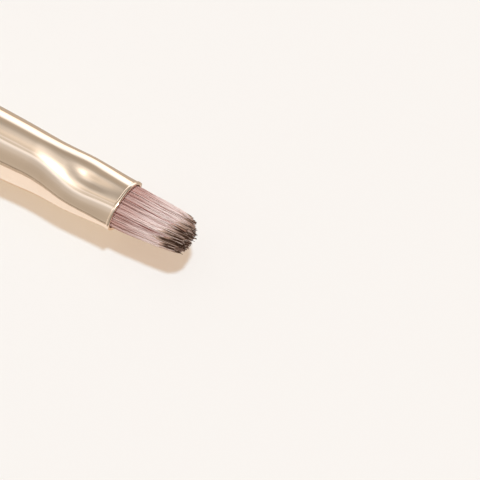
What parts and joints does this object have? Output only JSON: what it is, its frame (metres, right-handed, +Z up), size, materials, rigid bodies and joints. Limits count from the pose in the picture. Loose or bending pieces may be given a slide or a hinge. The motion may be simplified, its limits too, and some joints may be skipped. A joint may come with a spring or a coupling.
{
  "type": "eyeliner brush",
  "caption": "Slim make-up brush: round tapered handle, crimped metal ferrule pressed flat at the mouth, short flat tuft with a rounded edge, soiled at the tips.",
  "frame": {"origin": "on the table under the middle of the brush's length and width", "axes": "+X along the brush towards the tips, +Y across the flat of the tuft, +Z up out of the flat"},
  "size_m": [0.1664, 0.007, 0.0073],
  "materials": {
    "handle": "gloss lacquer",
    "ferrule": "polished, champagne gold",
    "resin_plug": "cured resin",
    "bristle_tuft": "synthetic filament"
  },
  "bodies": {
    "root": {"handle": "handle", "ferrule": "ferrule", "resin_plug": "resin_plug", "bristle_tuft": "bristle_tuft"}
  },
  "joints": []
}
